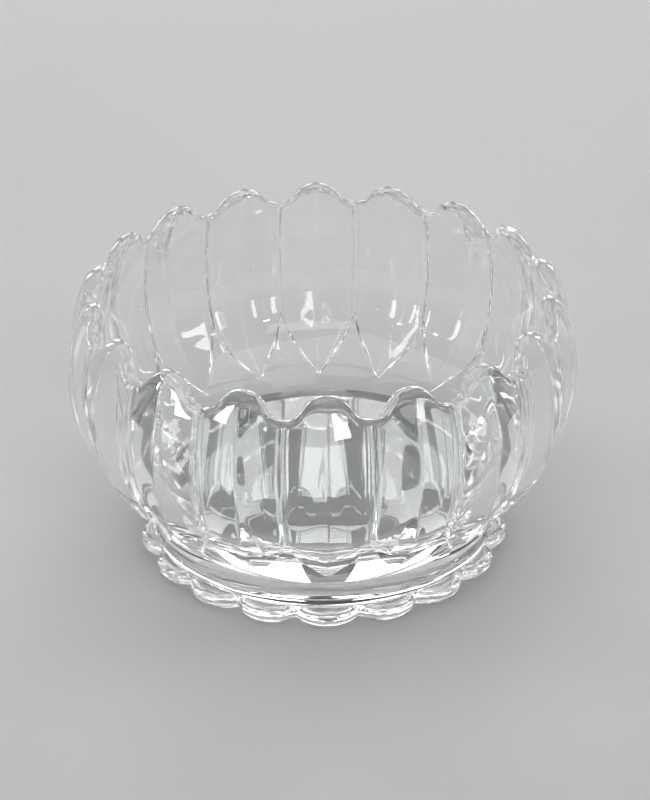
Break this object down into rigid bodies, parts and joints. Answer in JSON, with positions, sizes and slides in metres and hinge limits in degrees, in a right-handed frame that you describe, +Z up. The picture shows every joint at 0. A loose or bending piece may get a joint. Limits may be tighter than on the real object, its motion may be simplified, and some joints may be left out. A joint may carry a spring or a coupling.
{
  "type": "floating candle bowl",
  "caption": "Footed bowl of clear pressed glass with creased lobes, a wavy rim and a scalloped foot, for water and floating candles.",
  "frame": {"origin": "on the surface the bowl stands on, under the middle of the foot", "axes": "+Z up along the bowl's axis, -Y to the front, where the ridge of one lobe faces"},
  "size_m": [0.1478, 0.15, 0.0836],
  "materials": {
    "clear_glass": "clear fire-polished pressed glass"
  },
  "bodies": {
    "root": {"bowl": "clear_glass", "foot": "clear_glass"}
  },
  "joints": []
}
